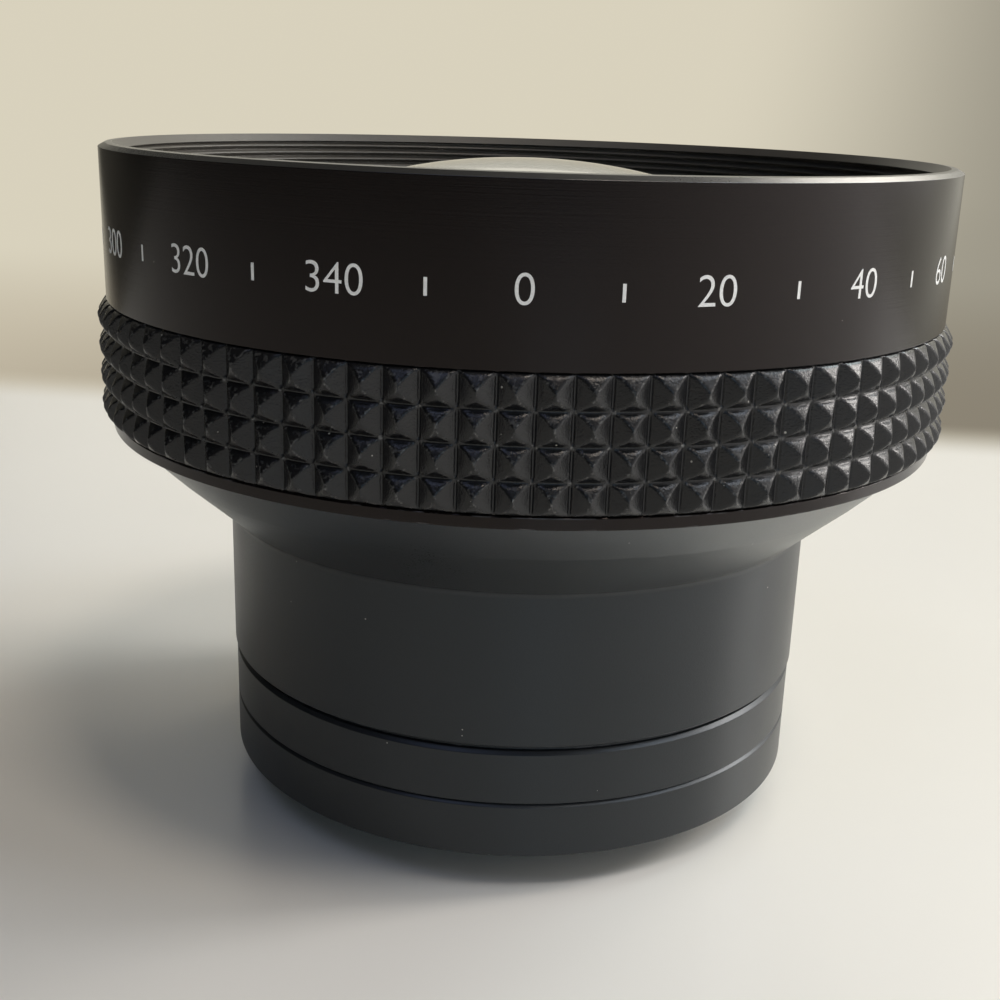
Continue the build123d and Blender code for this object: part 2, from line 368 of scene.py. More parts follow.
MATT_BLACK_COLOUR = (0.0108, 0.0118, 0.0132, 1)
MATT_GLOSS = (0.88, 0.95, 1.0, 1)
matt_anodised = dull_black(
    "matt_anodised_black", MATT_BLACK_COLOUR, roughness=0.36, grain=0.8, lines=0.15, gloss=MATT_GLOSS
)
adapter_foot, adapter_top = heights("adapter_ring")
ring_reach = reach("adapter_ring")
ring_chamfer = 0.35
foot_chamfer = 0.15
camera_bore = 21.6
camera_thread_reach = 23.0
camera_thread_top = 3.5
camera_thread_chamfer = 0.4
undercut = 0.5
undercut_reach = camera_thread_reach - undercut
socket_reach = 27.3
socket_floor = 5.2
socket_thread_end = socket_floor + 0.5
adapter_outline = [
    (camera_bore, adapter_foot),
    (camera_thread_reach - camera_thread_chamfer, adapter_foot),
    (camera_thread_reach, adapter_foot + camera_thread_chamfer),
    *thread(
        camera_thread_reach,
        adapter_foot + camera_thread_chamfer + THREAD_START,
        camera_thread_top - undercut - THREAD_START,
        -THREAD_CUT,
    ),
    (undercut_reach, camera_thread_top - undercut, SHARP),
    (undercut_reach, camera_thread_top),
    (ring_reach - foot_chamfer, camera_thread_top),
    (ring_reach, camera_thread_top + foot_chamfer),
    (ring_reach, adapter_top - ring_chamfer),
    (ring_reach - ring_chamfer, adapter_top),
    (socket_reach + ring_chamfer, adapter_top),
    (socket_reach, adapter_top - ring_chamfer, SHARP),
    *thread(socket_reach, adapter_top - ring_chamfer - THREAD_START, socket_thread_end, THREAD_CUT),
    (socket_reach, socket_floor),
    (camera_bore, socket_floor),
]
adapter = turned("adapter_ring_finished", adapter_outline)
fit(adapter, matt_anodised, "black_anodised", "adapter", "adapter_ring")

# Mount ring: joins the barrel to the adapter, and is turned and anodised like it. It has a thread for
# the adapter below and a thread into the barrel's foot above, and holds the rear cell inside.
mount_end, mount_top = heights("mount_ring")
web_bore = 22.65
web_top = 17.2
mount_thread_reach = 27.25
spigot_neck = mount_thread_reach - 0.45
neck_height = 0.4
joint_gap = 0.02
joint_chamfer = 0.12
foot_thread_reach = 26.0
foot_wall_bore = 25.0
shoulder_level = 13.81
barrel_foot = 14.3
groove_reach = ring_reach - 0.6
mount_outline = [
    (web_bore, mount_end),
    (mount_thread_reach - ring_chamfer, mount_end),
    (mount_thread_reach, mount_end + ring_chamfer, SHARP),
    *thread(
        mount_thread_reach,
        mount_end + ring_chamfer + THREAD_START,
        adapter_top - neck_height - THREAD_START,
        -THREAD_CUT,
    ),
    (spigot_neck, adapter_top - neck_height, SHARP),
    (spigot_neck, adapter_top + joint_gap, SHARP),
    (ring_reach - joint_chamfer, adapter_top + joint_gap),
    (ring_reach, adapter_top + joint_gap + joint_chamfer),
    (ring_reach, shoulder_level - ring_chamfer),
    (ring_reach - ring_chamfer, shoulder_level),
    (groove_reach, shoulder_level),
    (groove_reach, barrel_foot),
    (foot_thread_reach, barrel_foot),
    (foot_thread_reach, mount_top),
    (foot_wall_bore, mount_top),
    (foot_wall_bore, web_top),
    (web_bore, web_top),
]
mount = turned("mount_ring_finished", mount_outline)
fit(mount, matt_anodised, "black_anodised", "converter", "mount_ring")

# Rear cell: a matt black aluminium tube that screws into the mount ring, with the rear glass under its
# top lip. A threaded ring under the glass holds it up, and the lock ring above fixes the cell's height.
FLAT_BLACK_COLOUR = (0.012, 0.012, 0.012, 1)
flat_black = dull_black(
    "flat_black", FLAT_BLACK_COLOUR, roughness=0.6, grain=0.6, lines=0.3, wear=0.15, dust=0.01
)
cell_foot, cell_top = heights("rear_cell")
cell_reach = reach("rear_cell")
cell_bore = 20.55
cell_chamfer = 0.3
cell_thread_start = cell_foot + cell_chamfer + THREAD_START
cell_thread_cut = 0.3
rear_glass_reach = reach("rear_negative")
rear_glass_low, rear_glass_high = heights("rear_negative")
cell_thread_end = rear_glass_low - 0.1
rear_clear = 19.2
lip_bevel = 0.6
cell_outline = [
    (cell_bore, cell_foot + cell_chamfer, SHARP),
    (cell_bore + cell_chamfer, cell_foot, SHARP),
    (cell_reach - cell_chamfer, cell_foot),
    (cell_reach, cell_foot + cell_chamfer),
    (cell_reach, cell_top),
    (rear_clear + lip_bevel, cell_top),
    (rear_clear, cell_top - lip_bevel, SHARP),
    (rear_clear, rear_glass_high),
    (cell_bore, rear_glass_high),
    *thread(cell_bore, cell_thread_end, cell_thread_start, cell_thread_cut),
]
cell = turned("rear_cell_finished", cell_outline)
fit(cell, flat_black, "matt_black", "converter", "rear_cell")


def finish_node(node, material):
    """Gives a piece of the frame its finish, and leaves its shape and place as they are."""
    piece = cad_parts[node]
    piece.data.materials.clear()
    piece.data.materials.append(material)


finish_node("rear_retaining_ring", flat_black)
finish_node("cell_lock_ring", flat_black)

# Rear glass: one element hollow on both sides, ground flat round its edges and polished. It lies in the
# rear cell and spreads the light again for the camera.
GLASS_IOR = 1.62
GLASS_COLOUR = (0.97, 0.985, 0.975, 1)
GLASS_DUST = {"Scale": 700.0, "Share": 0.02, "Speck Size": 0.06}
SMUDGE_SCALE = 120.0
SMUDGE_START = 0.5
SMUDGE_HAZE = 0.12
REAR_COATING_TINT = (0.75, 0.55, 1.0, 1)


def coated_glass(name, tint):
    """Polished glass with a thin coating, whose reflection has a colour, and a few faint smudges."""
    material, tree, shader = new_material(name)
    place = put(tree, "TexCoord").outputs["Object"]
    smudges = clouds(tree, place, SMUDGE_SCALE, detail=4.0)
    smudged = maths(tree, "MAXIMUM", maths(tree, "SUBTRACT", smudges, SMUDGE_START), 0.0)
    tree.links.new(maths(tree, "MULTIPLY", smudged, SMUDGE_HAZE), shader.inputs["Roughness"])
    specks = use_group(tree, SETTLED_DUST, GLASS_DUST)["Dust"]
    tree.links.new(blended(tree, specks, GLASS_COLOUR, DUST_COLOUR), shader.inputs["Base Color"])
    shader.inputs["Transmission Weight"].default_value = 1.0
    shader.inputs["IOR"].default_value = GLASS_IOR
    shader.inputs["Specular Tint"].default_value = tint
    return material


def sphere_rows(curve, pole, outer, bulge, count=40):
    """Outline rows along a spherical face from the axis out; bulge is 1 up or -1 down."""
    return [
        (radius, pole - bulge * (curve - sqrt(curve**2 - radius**2)), 0, 0)
        for radius in np.linspace(0, outer, count)
    ]


rear_front_curve = 55.0
rear_front_pole = 14.72
rear_back_curve = 35.6
rear_back_pole = 12.52
rear_glass_outline = [
    *sphere_rows(rear_back_curve, rear_back_pole, rear_clear, 1),
    (rear_glass_reach, rear_glass_low),
    (rear_glass_reach, rear_glass_high),
    *reversed(sphere_rows(rear_front_curve, rear_front_pole, rear_clear, -1)),
]
rear_glass = turned("rear_glass_polished", rear_glass_outline, columns=240, ring=False)
rear_coating = coated_glass("rear_coated_glass", REAR_COATING_TINT)
fit(rear_glass, rear_coating, "coated_glass", "converter", "rear_negative")

# Main barrel: one turned aluminium casting, matt black, from the foot over the mount ring to the tube
# round the front glass. Its cone has two slopes, and fine grooves inside it and the light stop over the
# rear glass keep stray light down.
barrel_reach = 29.15
cone_low = 28.4
cone_break_reach = 35.1
cone_break = 33.65
cone_top_reach = 39.2
lip_reach = 39.9
lip_low = 37.6
lip_chamfer = 0.15
lip_inset = 0.2
cone_foot_softness = 0.9
cone_break_softness = 0.5
lip_softness = 0.12
grip_low, grip_top = heights("rubber_grip")
tube_reach = 37.2
tube_top = heights("main_barrel")[1]
tube_bore = 35.05
tube_thread_start = tube_top - 0.2
tube_thread_end = tube_top - 3.0
tube_thread_cut = 0.3
front_seat = 33.4
seat_level = 43.09
throat_level = 35.5
throat_softness = 0.3
bore_reach = 25.2
bore_cone_level = 27.0
foot_bore = 26.05
stop_top = heights("light_stop")[1]
baffle_cut = 0.35
baffle_margin = 0.5
barrel_outline = [
    (foot_bore, barrel_foot),
    (barrel_reach - foot_chamfer, barrel_foot),
    (barrel_reach, barrel_foot + foot_chamfer),
    (barrel_reach, cone_low, cone_foot_softness),
    (cone_break_reach, cone_break, cone_break_softness),
    (cone_top_reach, lip_low, lip_softness),
    (lip_reach, lip_low, lip_softness),
    (lip_reach, grip_low - lip_chamfer),
    (lip_reach - lip_inset, grip_low),
    (tube_reach, grip_low),
    (tube_reach, tube_top),
    (tube_bore, tube_top),
    *thread(tube_bore, tube_thread_start, tube_thread_end, tube_thread_cut),
    (tube_bore, seat_level),
    (front_seat, seat_level),
    *thread(front_seat, seat_level - baffle_margin, throat_level + baffle_margin, baffle_cut),
    (front_seat, throat_level, throat_softness),
    (bore_reach, bore_cone_level, throat_softness),
    *thread(bore_reach, bore_cone_level - baffle_margin, stop_top + baffle_margin, baffle_cut),
    (bore_reach, stop_top),
    (foot_bore, stop_top),
]
barrel = turned("main_barrel_finished", barrel_outline)
fit(barrel, matt_anodised, "black_anodised", "converter", "main_barrel")
finish_node("light_stop", flat_black)


def finish_where(piece, material, chosen):
    """Gives some faces another finish: those whose radius and level, in millimetres, are chosen."""
    piece.data.materials.append(material)
    added = len(piece.data.materials) - 1
    for face in piece.data.polygons:
        if chosen(hypot(face.center.x, face.center.y) / MM, face.center.z / MM):
            face.material_index = added


SATIN_BLACK_COLOUR = (0.0036, 0.0029, 0.0027, 1)
SATIN_GLOSS = (1.0, 0.88, 0.85, 1)
CONE_BLACK_COLOUR = (0.005, 0.0051, 0.0053, 1)
ON_LEVEL = 0.05
CONE_MARGIN = 0.2
cone_anodised = dull_black(
    "cone_anodised_black", CONE_BLACK_COLOUR, roughness=0.32, grain=0.8, lines=0.15, ior=2.15,
    gloss=MATT_GLOSS
)
satin_anodised = dull_black(
    "satin_anodised_black", SATIN_BLACK_COLOUR, roughness=0.2, grain=0.35, lines=0.3, depth=0.012,
    ior=1.34, gloss=SATIN_GLOSS
)


def on_cone(radius, level):
    """Whether a place is on the outside of the cone."""
    return cone_low + CONE_MARGIN < level <= lip_low and radius > barrel_reach - ON_LEVEL


def on_lip(radius, level):
    """Whether a place is on the lip under the rubber or on the tube above it."""
    return level > lip_low - ON_LEVEL and radius > cone_top_reach


finish_where(barrel, cone_anodised, on_cone)
finish_where(barrel, satin_anodised, on_lip)

# Front glass: a crown and a flint element cemented into one doublet, domed in front. It drops into the
# barrel's tube on the shim and is held by the threaded retaining ring.
FRONT_COATING_TINT = (0.97, 0.98, 0.9, 1)
crown_curve = 62.0
crown_pole = heights("front_crown")[1]
crown_edge = crown_pole - 11.05
flint_curve = 110.0
flint_pole = heights("front_flint")[0]
flint_edge = flint_pole + 5.95
doublet_reach = reach("front_crown")
polished_reach = doublet_reach - 0.25
doublet_outline = [
    *sphere_rows(flint_curve, flint_pole, polished_reach, -1),
    (doublet_reach, flint_edge, SHARP),
    (doublet_reach, crown_edge, SHARP),
    *reversed(sphere_rows(crown_curve, crown_pole, polished_reach, 1)),
]
doublet = turned("front_doublet_polished", doublet_outline, columns=360, ring=False)
front_coating = coated_glass("front_coated_glass", FRONT_COATING_TINT)
fit(doublet, front_coating, "coated_glass", "converter", "front_crown", "front_flint")
finish_node("front_shim", flat_black)
finish_node("front_retaining_ring", flat_black)

# Front ring: the smooth ring with the filter thread, turned from aluminium and anodised glossier than
# the barrel. Its skirt runs down under the rubber, where three grub screws lock it.
BEVEL_BLACK_COLOUR = (0.008, 0.0078, 0.0075, 1)
# The threaded wall's colour is lighter and browner than the other blacks: partly its own colour, partly
# painted light for the room light that reaches inside the ring.
THREAD_BLACK_WITH_PAINTED_FILL_COLOUR = (0.06, 0.054, 0.044, 1)
cut_bevel = dull_black(
    "cut_bevel_black", BEVEL_BLACK_COLOUR, roughness=0.3, grain=1.0, lines=0.1, wear=0.4, ior=2.2
)
threaded_black = dull_black("threaded_black", THREAD_BLACK_WITH_PAINTED_FILL_COLOUR, roughness=0.45)
front_reach = 40.0
skirt_reach = 38.6
skirt_bore = 37.25
rim_top = heights("front_ring")[1]
filter_reach = 38.1
filter_cut = 0.4
filter_run_out = 0.5
rim_bevel_width = 0.6
rim_bevel_height = 0.4
rim_inner_bevel = 0.75
rim_slope = 0.06
rim_softness = 0.06
funnel_top = 58.0
funnel_low = 55.3
funnel_edge = skirt_bore - 0.65
front_outline = [
    (skirt_bore, grip_low),
    (skirt_reach, grip_low),
    (skirt_reach, grip_top),
    (front_reach - joint_chamfer, grip_top),
    (front_reach, grip_top + joint_chamfer),
    (front_reach, rim_top - rim_bevel_height, rim_softness),
    (front_reach - rim_bevel_width, rim_top - rim_slope),
    (filter_reach + rim_inner_bevel, rim_top, rim_softness),
    (filter_reach, rim_top - rim_inner_bevel, SHARP),
    *thread(
        filter_reach,
        rim_top - rim_inner_bevel - THREAD_START,
        funnel_top + filter_run_out + THREAD_START,
        filter_cut,
    ),
    (filter_reach + filter_cut, funnel_top + filter_run_out, SHARP),
    (filter_reach + filter_cut, funnel_top, SHARP),
    (filter_reach, funnel_top, SHARP),
    (funnel_edge, funnel_low),
    (skirt_bore, funnel_low),
]
front = turned("front_ring_finished", front_outline, columns=720)
fit(front, satin_anodised, "black_anodised", "converter", "front_ring")


def on_rim(radius, level):
    """Whether a place is on the rim's bevel or its flat top."""
    return level > rim_top - rim_bevel_height


def on_inner_wall(radius, level):
    """Whether a place is on the threaded wall or the funnel below it."""
    return radius < filter_reach + rim_inner_bevel - ON_LEVEL


finish_where(front, cut_bevel, on_rim)
finish_where(front, threaded_black, on_inner_wall)

# Grub screws: three blackened steel screws in the front ring's skirt, out of sight under the rubber.
# They are turned in until they press on the barrel's tube and lock the ring.
STEEL_COLOUR = (0.03, 0.03, 0.032, 1)
blackened_steel = dull_black("blackened_steel", STEEL_COLOUR, roughness=0.35, grain=0.2, wear=0, dust=0)
finish_node("skirt_screws", blackened_steel)

# Rubber grip: a moulded band stretched over the skirt, with four rows of ninety pointed studs. Each has
# flat flanks beside the column grooves and a roof that curves down to the rows above and below.
STUDS_ROUND = 90
STUD_ROWS = 4
STUD_SHARES = (
    -1, -0.95, -0.91, -0.87, -0.84, -0.78, -0.68, -0.56, -0.44, -0.33, -0.22, -0.12, -0.05, 0
)
STUD_STEPS = 22
TIP_GATHERING = 0.035
FIRST_STUD = radians(1.5)
TIP_ROUNDING = 0.05
UPPER_FALL = 0.95
UPPER_CURVE = 1.15
LOWER_CURVE = 2.3
NOTCH_DEPTH = 0.3
NOTCH_START = 0.7
GROOVE_WIDTH = 0.42
GROOVE_DEPTH = 0.17
GROOVE_LEAST = 0.3
GROOVE_DEEPENING = 3
BAND_END_BEVEL = 0.22
BAND_END_ROUNDING = 0.5
BAND_END_MARGIN = 0.03
BAND_END_GAP = 0.001
MOULD_UNEVENNESS = 0.05
UNEVENNESS_SCALE = 0.9
RIDGE_SHARE = 0.09
SCUFF_FADE = 0.15
UPPER_SCUFFS_AND_SHEEN = 0.3
UNSHADED_START = 0.3
UNSHADED_GAIN = 2
grip_crest = reach("rubber_grip")
grip_valley = 40.0
grip_bore = 38.62
band_corner = grip_valley - 0.4


def grip_columns():
    """The angle of each column of points, and its place across its stud from -1 to 1."""
    across = np.array(STUD_SHARES + tuple(-share for share in STUD_SHARES[-2:0:-1]))
    middles = FIRST_STUD + 2 * pi / STUDS_ROUND * np.arange(STUDS_ROUND)
    angles = middles[:, None] + pi / STUDS_ROUND * across
    return angles.ravel(), np.tile(across, STUDS_ROUND)


def grip_levels():
    """The level of each row of points, counted in studs from the band's lower end."""
    up = np.linspace(0, 1, STUD_STEPS, endpoint=False)
    up = up + TIP_GATHERING * np.sin(2 * pi * up)
    return np.concatenate([row + up for row in range(STUD_ROWS)] + [[STUD_ROWS]])


def stud_roof(levels):
    """How high the studs' middle stands at each level, from 0 between two rows to 1 at a tip."""
    along = 2 * (levels % 1) - 1
    from_tip = abs(along)
    below_a_row = levels < STUD_ROWS - 0.5
    notch = NOTCH_DEPTH * np.clip((from_tip - NOTCH_START) / (1 - NOTCH_START), 0, 1) * below_a_row
    upper = 1 - UPPER_FALL * from_tip**UPPER_CURVE - notch
    lower = 1 - from_tip**LOWER_CURVE
    return np.clip(np.where(along > 0, upper, lower), 0, 1)[:, None]


def rounded_least(first, second, softness):
    """The lesser of two heights, with the edge where they cross rounded a little."""
    share = np.clip(0.5 + 0.5 * (second - first) / softness, 0, 1)
    return second * (1 - share) + first * share - softness * share * (1 - share)


def column_grooves(side, flank_reach, roof):
    """How deep the flat grooves between the studs' columns are, and less so between two rows."""
    hollow = np.clip((abs(side) / flank_reach - 1) / (1 / flank_reach - 1), 0, 1)
    fullness = GROOVE_LEAST + (1 - GROOVE_LEAST) * np.clip(GROOVE_DEEPENING * roof, 0, 1)
    return GROOVE_DEPTH * hollow**2 * (3 - 2 * hollow) * fullness


def stud_scuffs(flank, roof, levels):
    """Where the rubber is lighter, from 0 to 1: scuffed along the ridges, and scuffed with painted
    highlight on the upper faces.
    """
    ridges = np.clip(1 - abs(flank - roof) / RIDGE_SHARE, 0, 1)
    upper_face = np.clip((flank - roof) / SCUFF_FADE, 0, 1) * (levels % 1 > 0.5)[:, None]
    # Painted shade: the upper faces' lighter colour fades out below the row above, where its studs shade
    # them. It does not fade on the top row, which has no studs above it.
    unshaded = np.clip(UNSHADED_GAIN * roof - UNSHADED_START, 0, 1)
    unshaded = np.where(levels[:, None] > STUD_ROWS - 1, 1.0, unshaded)
    return np.maximum(ridges, UPPER_SCUFFS_AND_SHEEN * upper_face * unshaded)


def grip_points():
    """Rows of points up the studs, closed by the band's ends and its smooth bore, and where each is
    lighter from scuff marks and painted highlight.
    """
    angles, side = grip_columns()
    levels = grip_levels()
    flank_reach = 1 - GROOVE_WIDTH / 2 / (grip_valley * pi / STUDS_ROUND)
    flank = np.clip(1 - abs(side) / flank_reach, 0, 1)
    roof = stud_roof(levels)
    height = np.clip(rounded_least(flank, roof, TIP_ROUNDING), 0, 1)
    row_height = (grip_top - grip_low) / STUD_ROWS
    from_end = np.minimum(levels, STUD_ROWS - levels)[:, None] * row_height
    rounding = BAND_END_ROUNDING * np.clip(BAND_END_BEVEL - from_end, 0, None)
    radius = grip_valley + (grip_crest - grip_valley) * height - rounding
    radius = radius - column_grooves(side, flank_reach, roof)
    level = grip_low + row_height * np.broadcast_to(levels[:, None], radius.shape)
    level = np.clip(level, grip_low + BAND_END_MARGIN, grip_top - BAND_END_MARGIN)
    rows = [np.stack([radius * np.cos(angles), radius * np.sin(angles), level], axis=-1)]
    top = grip_top - BAND_END_GAP
    foot = grip_low + BAND_END_GAP
    for inner, end in ((band_corner, top), (grip_bore, top), (grip_bore, foot), (band_corner, foot)):
        ring = [inner * np.cos(angles), inner * np.sin(angles), np.full_like(angles, end)]
        rows.append(np.stack(ring, axis=-1)[None])
    unworn = np.zeros((len(rows) - 1, len(angles)))
    return np.concatenate(rows), np.concatenate([stud_scuffs(flank, roof, levels), unworn])


def uneven(points):
    """Moves each point of the studs a little in or out, as moulded rubber is never quite even."""
    for row in points:
        for point in row:
            out = hypot(point[0], point[1])
            if out > grip_valley:
                swell = noise.noise(Vector(point) * UNEVENNESS_SCALE) * (out - grip_valley)
                point[:2] *= 1 + MOULD_UNEVENNESS * swell / out
    return points


RUBBER_COLOUR = (0.0085, 0.0088, 0.0094, 1)
# The lighter rubber colour shows scuff marks along the ridges and painted highlight on the studs' upper
# faces.
SCUFF_AND_SHEEN_RUBBER_COLOUR = (0.16, 0.158, 0.15, 1)
stud_points, scuffs_and_sheen = grip_points()
grip = grid_mesh("rubber_grip_moulded", uneven(stud_points) * MM)
mark_edges(grip, scuffs_and_sheen.ravel())
moulded_rubber = dull_black(
    "moulded_rubber", RUBBER_COLOUR, roughness=0.2, grain=0.9, lines=0.0, wear=0.7, dust=0.05,
    depth=0.06, ior=1.42, bare=SCUFF_AND_SHEEN_RUBBER_COLOUR, patches=2600.0
)
fit(grip, moulded_rubber, "grip_rubber", "converter", "rubber_grip")

# Scale on the front ring: plain numbers with short lines between them, printed in white round the ring.
# The paint is a thin skin on the anodised wall.
PAINT_COLOUR = (0.74, 0.74, 0.72, 1)
PAINT_RELIEF_STRENGTH = 0.4
PAINT_RELIEF = 0.01
PAINT_RAISED = 0.02
PAINT_SUNK = 0.01
FLAT_THICKNESS = 0.1
SCALE_LEVEL = 55.1
NUMBER_SIZE = 3.3
NUMBER_THINNING = 0.03
DEGREES_APART = 20
LINE_WIDTH = 0.26
LINE_HEIGHT = 1.3


def printed_paint():
    """White printing ink, a little uneven and with a fine grain."""
    material, tree, shader = new_material("printed_paint")
    finish = use_group(
        tree, FINE_FINISH, {"Colour": PAINT_COLOUR, "Roughness": 0.5, "Grain": 0.5, "Lines": 0.0}
    )
    tree.links.new(finish["Colour"], shader.inputs["Base Color"])
    tree.links.new(finish["Roughness"], shader.inputs["Roughness"])
    add_relief(tree, shader, finish["Height"], PAINT_RELIEF_STRENGTH, PAINT_RELIEF)
    return material


def wrap_round(points, turn):
    """Bends flat print round the ring, with its middle at a turn in degrees from the front."""
    for point in points:
        across, up, out = point.co
        angle = radians(turn - 90) + across / front_reach
        radius = front_reach + (PAINT_RAISED if out > 0 else -PAINT_SUNK)
        point.co = Vector((radius * cos(angle), radius * sin(angle), SCALE_LEVEL + up)) * MM


def printed_number(ink, number):
    """Adds one flat number to the ink and returns its points."""
    letters = bpy.data.curves.new("number", "FONT")
    letters.body = str(number)
    letters.size = NUMBER_SIZE
    letters.offset = -NUMBER_THINNING
    letters.extrude = FLAT_THICKNESS
    letters.align_x = "CENTER"
    letters.align_y = "CENTER"
    holder = bpy.data.objects.new("number", letters)
    flat = bpy.data.meshes.new_from_object(holder)
    first = len(ink.verts)
    ink.from_mesh(flat)
    bpy.data.objects.remove(holder)
    bpy.data.meshes.remove(flat)
    return list(ink.verts)[first:]


def printed_scale():
    """All numbers and lines of the scale as one thin mesh."""
    ink = bmesh.new()
    bar = Matrix.Diagonal((LINE_WIDTH, LINE_HEIGHT, FLAT_THICKNESS, 1))
    for turn in range(0, 360, DEGREES_APART):
        wrap_round(printed_number(ink, turn), turn)
        wrap_round(bmesh.ops.create_cube(ink, matrix=bar)["verts"], turn + DEGREES_APART / 2)
    mesh = bpy.data.meshes.new("ring_scale")
    ink.to_mesh(mesh)
    ink.free()
    return new_object("ring_scale", mesh)


fit(printed_scale(), printed_paint(), "black_anodised", "converter")

# Floor and backdrop: one pale sheet that lies flat under the lens and turns up far behind it. Its floor
# has a painted patch of light to the right. Past the floor's edge it is a beige backdrop whose soft
# light and shade are painted on, and which glows with that colour to the camera and in reflections. It
# is the stage and no piece of the lens.
FLOOR_COLOUR = (0.76, 0.745, 0.69, 1)
PAINTED_LIT_FLOOR_COLOUR = (0.93, 0.92, 0.88, 1)
FLOOR_ROUGHNESS = 0.3
FLOOR_EDGE = 0.158
FLOOR_EDGE_SLANT = 0.11
FLOOR_EDGE_BLUR = 0.016
MOTTLE_SCALE = 18.0
MOTTLE_STRENGTH = 0.06
# The backdrop colours and spans below paint its light and shade: shade to the right, a lit stretch past
# it, light above, and a dim left side in reflections.
BACKDROP_LOW_COLOUR = (0.53, 0.47, 0.36, 1)
BACKDROP_HIGH_COLOUR = (0.69, 0.64, 0.51, 1)
BACKDROP_LIT_COLOUR = (0.8, 0.77, 0.66, 1)
BACKDROP_LIT_ABOVE_COLOUR = (0.9, 0.87, 0.75, 1)
BACKDROP_SHADE = 0.48
SIGHT_SLANT = -0.38
SIDE_SHADE = 0.12
SIDE_SLANT = -0.396
SIDE_LEAN = -0.3
SIDE_BEND = 0.8
SIDE_BEND_LEVEL = 0.16
PAINTED_LIT_FLOOR_SPAN = (0.06, 0.12)
RISE_SPAN = (FLOOR_EDGE, 0.46)
SHADE_SPAN = (-0.26, 0.06)
LIT_SPAN = (0.08, 0.3)
LIT_ABOVE_SPAN = (0.2, 0.45)
SIDE_SPAN = (0.06, 0.22)


def rising(tree, value, start, end):
    """A share that grows smoothly from 0 to 1 between two values."""
    values = {0: value, 1: start, 2: end}
    return put(tree, "MapRange", values, interpolation_type="SMOOTHSTEP").outputs[0]


def shade_between(tree, share, least):
    """How much of a colour is left, from all of it at share 0 to the least at share 1."""
    return maths(tree, "MULTIPLY_ADD", share, least - 1, 1.0)


def backdrop_colour(tree, axes, across, mirrored):
    """Beige with painted shade across it, a painted lit stretch further right and painted light above.

    Where mirrored is 1, which is for all but the camera, painted shade also dims it at the left. The dim
    side starts along a line that leans and bends with the level.
    """
    low_to_high = rising(tree, axes["Y"], *RISE_SPAN)
    colour = blended(tree, low_to_high, BACKDROP_LOW_COLOUR, BACKDROP_HIGH_COLOUR)
    shade = shade_between(tree, rising(tree, across, *SHADE_SPAN), BACKDROP_SHADE)
    colour = scaled(tree, colour, shade)
    colour = blended(tree, rising(tree, across, *LIT_SPAN), colour, BACKDROP_LIT_COLOUR)
    colour = blended(tree, rising(tree, axes["Z"], *LIT_ABOVE_SPAN), colour, BACKDROP_LIT_ABOVE_COLOUR)
    leaning = maths(tree, "MULTIPLY", axes["Z"], SIDE_LEAN)
    beside = maths(tree, "MULTIPLY_ADD", axes["Y"], SIDE_SLANT, leaning)
    beside = maths(tree, "SUBTRACT", beside, axes["X"])
    higher = maths(tree, "MAXIMUM", maths(tree, "SUBTRACT", axes["Z"], SIDE_BEND_LEVEL), 0.0)
    beside = maths(tree, "MULTIPLY_ADD", higher, SIDE_BEND, beside)
    dim_share = maths(tree, "MULTIPLY", rising(tree, beside, *SIDE_SPAN), mirrored)
    return scaled(tree, colour, shade_between(tree, dim_share, SIDE_SHADE))


def cove_material():
    """Smooth pale floor with a painted patch of light to the right, beige backdrop and a soft change
    between, seen from the front side only.
    """
    material, tree, shader = new_material("floor_and_backdrop")
    place = put(tree, "TexCoord").outputs["Object"]
    axes = put(tree, "SeparateXYZ", {0: place}).outputs
    across = maths(tree, "MULTIPLY_ADD", axes["Y"], SIGHT_SLANT, axes["X"])
    slanted = maths(tree, "MULTIPLY_ADD", axes["X"], FLOOR_EDGE_SLANT, axes["Y"])
    rise = rising(tree, slanted, FLOOR_EDGE - FLOOR_EDGE_BLUR, FLOOR_EDGE + FLOOR_EDGE_BLUR)
    ray = put(tree, "LightPath").outputs
    mirrored = maths(tree, "SUBTRACT", 1.0, ray["Is Camera Ray"])
    backdrop = backdrop_colour(tree, axes, across, mirrored)
    # Painted light: the floor turns paler to the right, as a patch of light on the table there.
    floor = blended(tree, rising(tree, across, *PAINTED_LIT_FLOOR_SPAN), FLOOR_COLOUR, PAINTED_LIT_FLOOR_COLOUR)
    mottle = clouds(tree, place, MOTTLE_SCALE, detail=3.0)
    floor = scaled(tree, floor, varied(tree, 1.0, mottle, MOTTLE_STRENGTH))
    tree.links.new(blended(tree, rise, floor, BACKDROP_HIGH_COLOUR), shader.inputs["Base Color"])
    shader.inputs["Roughness"].default_value = FLOOR_ROUGHNESS
    seen = maths(tree, "MAXIMUM", ray["Is Glossy Ray"], ray["Is Transmission Ray"])
    seen = maths(tree, "MAXIMUM", seen, ray["Is Camera Ray"])
    plain = maths(tree, "MULTIPLY", seen, rise)
    # The backdrop glows with its painted light and shade to the camera and in reflections.
    glow = put(tree, "Emission", {"Color": backdrop}).outputs[0]
    front_side = put(tree, "MixShader", {0: plain, 1: shader.outputs[0], 2: glow}).outputs[0]
    clear = put(tree, "BsdfTransparent").outputs[0]
    back_side = put(tree, "NewGeometry").outputs["Backfacing"]
    sided = put(tree, "MixShader", {0: back_side, 1: front_side, 2: clear}).outputs[0]
    tree.links.new(sided, tree.nodes["Material Output"].inputs["Surface"])
    return material


SHEET_REACH = 1.5
BEND_START = 0.9
BEND_RADIUS = 0.3
BEND_STEPS = 16
BACKDROP_TOP = 1.6


